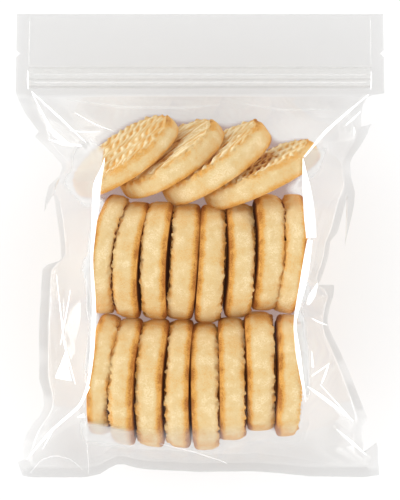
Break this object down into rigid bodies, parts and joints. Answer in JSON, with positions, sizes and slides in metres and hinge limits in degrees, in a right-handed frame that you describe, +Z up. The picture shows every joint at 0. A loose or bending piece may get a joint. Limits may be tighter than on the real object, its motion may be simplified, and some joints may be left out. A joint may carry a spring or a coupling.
{
  "type": "pack of shortbread biscuits",
  "caption": "Clear press-to-close film pouch packed with round shortbread biscuits: upright rows below, leaning ones above, with a flat header and zip strip. Lies on its back.",
  "frame": {"origin": "on the table under the middle of the lying pouch's outline", "axes": "+X to the pouch's right seen from the shown side, +Y from the bottom seal to the header and zip, +Z up from the table out of the shown side"},
  "size_m": [0.2, 0.2539, 0.064],
  "materials": {
    "film": "clear glossy film, creased where it is gathered, faintly milky where it lies double",
    "zip": "milky translucent press-to-close strip with fine ribs",
    "biscuit": "matt baked shortbread, pale golden with browner edges, sandy crumb, ridged on one face"
  },
  "bodies": {
    "root": {"pouch": "film", "zip_strip": "zip"}
  },
  "joints": []
}
